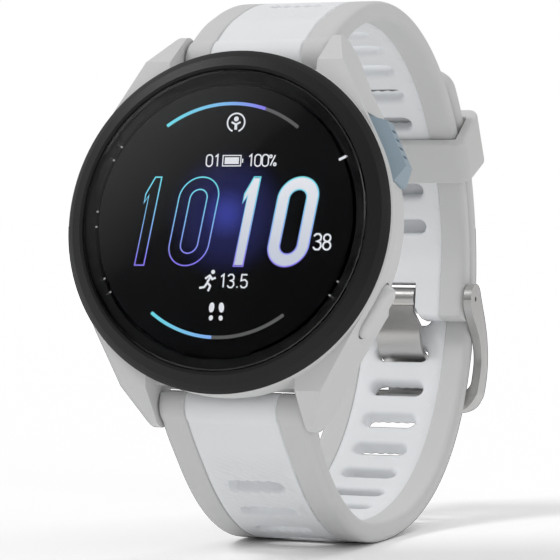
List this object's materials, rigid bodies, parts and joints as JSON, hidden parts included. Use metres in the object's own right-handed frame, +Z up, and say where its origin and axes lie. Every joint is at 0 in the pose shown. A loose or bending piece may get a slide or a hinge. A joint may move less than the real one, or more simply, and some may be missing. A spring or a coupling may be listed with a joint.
{
  "type": "running watch",
  "caption": "Round sports wristwatch with a colour display, side buttons and a slotted silicone strap buckled into a standing loop.",
  "frame": {"origin": "middle of the bounding box, on the surface that the strap loop stands on", "axes": "+X towards three o'clock, -Y the way the display faces (it leans back a little), +Z up, towards twelve o'clock"},
  "size_m": [0.0441, 0.0753, 0.0712],
  "materials": {
    "case_polymer": "fine moulded satin, light warm grey",
    "bezel_black": "fine turned satin, black",
    "lens_glass": "polished",
    "display_black": "glossy black panel",
    "seal_black": "matt",
    "chassis_polymer": "moulded",
    "antenna_metal": "stamped",
    "battery_foil": "foil",
    "flex_amber": "film",
    "board_green": "solder mask",
    "can_metal": "stamped",
    "chip_black": "moulded",
    "cover_polymer": "fine moulded satin",
    "screw_steel": "machined",
    "contact_gold": "plated",
    "sensor_glass": "polished dark window",
    "led_green": "clear moulded",
    "silicone_white": "fine diagonal ribs, matt white",
    "silicone_grey": "smooth matt light grey",
    "buckle_steel": "brushed",
    "bar_steel": "drawn",
    "button_blue": "satin pale blue-grey",
    "button_grey": "satin light grey"
  },
  "bodies": {
    "case": {"antenna_ring": "antenna_metal", "barometer": "can_metal", "battery": "battery_foil", "battery_lead": "flex_amber", "beeper": "can_metal", "bezel": "bezel_black", "case_body": "case_polymer", "charge_contacts": "contact_gold", "chips": "chip_black", "display_module": "display_black", "inner_chassis": "chassis_polymer", "lens": "lens_glass", "lens_gasket": "seal_black", "main_board": "board_green", "photodiodes": "chip_black", "rear_cover": "cover_polymer", "rear_screws": "screw_steel", "rear_seal": "seal_black", "sensor_baffle": "seal_black", "sensor_board": "board_green", "sensor_leds": "led_green", "sensor_window": "sensor_glass", "shield_cans": "can_metal", "switch_domes": "can_metal", "tact_switches": "chip_black", "vibration_motor": "can_metal"},
    "start_button": {"start_button": "button_blue", "start_button_seal": "seal_black", "start_button_clip": "screw_steel"},
    "back_button": {"back_button": "button_grey", "back_button_seal": "seal_black", "back_button_clip": "screw_steel"},
    "light_button": {"light_button": "button_grey", "light_button_seal": "seal_black", "light_button_clip": "screw_steel"},
    "up_button": {"up_button": "button_grey", "up_button_seal": "seal_black", "up_button_clip": "screw_steel"},
    "down_button": {"down_button": "button_grey", "down_button_seal": "seal_black", "down_button_clip": "screw_steel"},
    "strap_loop": {"long_strap_core": "silicone_white", "long_strap_border": "silicone_grey", "short_strap_core": "silicone_white", "short_strap_border": "silicone_grey", "buckle_pin": "buckle_steel", "upper_bar_barrel": "bar_steel", "upper_bar_fixed_tip": "bar_steel", "upper_bar_spring": "bar_steel", "lower_bar_barrel": "bar_steel", "lower_bar_fixed_tip": "bar_steel", "lower_bar_spring": "bar_steel"},
    "upper_release": {"upper_bar_release": "bar_steel"},
    "lower_release": {"lower_bar_release": "bar_steel"},
    "buckle": {"buckle_frame": "buckle_steel"},
    "tongue": {"buckle_tongue": "buckle_steel"},
    "keeper": {"keeper": "silicone_grey"}
  },
  "joints": [
    {"name": "start_press", "type": "slide", "parent": "case", "child": "start_button", "axis": [-0.891, -0.0847, -0.446], "range_m": [0, 0.0004], "stiffness_N_per_m": 3000, "springref_m": -0.0002},
    {"name": "back_press", "type": "slide", "parent": "case", "child": "back_button", "axis": [-0.8746, 0.0904, 0.4763], "range_m": [0, 0.0004], "stiffness_N_per_m": 3000, "springref_m": -0.0002},
    {"name": "light_press", "type": "slide", "parent": "case", "child": "light_button", "axis": [0.8746, -0.0904, -0.4763], "range_m": [0, 0.0004], "stiffness_N_per_m": 3000, "springref_m": -0.0002},
    {"name": "up_press", "type": "slide", "parent": "case", "child": "up_button", "axis": [1, 0, 0], "range_m": [0, 0.0004], "stiffness_N_per_m": 3000, "springref_m": -0.0002},
    {"name": "down_press", "type": "slide", "parent": "case", "child": "down_button", "axis": [0.8746, 0.0904, 0.4763], "range_m": [0, 0.0004], "stiffness_N_per_m": 3000, "springref_m": -0.0002},
    {"name": "strap_swing", "type": "hinge", "parent": "case", "child": "strap_loop", "pos_m": [0, -0.02115, 0.06323], "axis": [1, 0, 0], "range_deg": [0, 70]},
    {"name": "upper_release_pull", "type": "slide", "parent": "strap_loop", "child": "upper_release", "axis": [-1, 0, 0], "range_m": [0, 0.001], "stiffness_N_per_m": 800, "springref_m": -0.001},
    {"name": "lower_release_pull", "type": "slide", "parent": "strap_loop", "child": "lower_release", "axis": [-1, 0, 0], "range_m": [0, 0.001], "stiffness_N_per_m": 800, "springref_m": -0.001},
    {"name": "buckle_rock", "type": "hinge", "parent": "strap_loop", "child": "buckle", "pos_m": [0, 0.03207, 0.03087], "axis": [1, 0, 0], "range_deg": [0, 1]},
    {"name": "tongue_rock", "type": "hinge", "parent": "buckle", "child": "tongue", "pos_m": [0, 0.03207, 0.03087], "axis": [1, 0, 0], "range_deg": [0, 1]},
    {"name": "keeper_slide", "type": "hinge", "parent": "strap_loop", "child": "keeper", "pos_m": [0, -0.0016, 0.0356], "axis": [1, 0, 0], "range_deg": [-17, 70]}
  ]
}
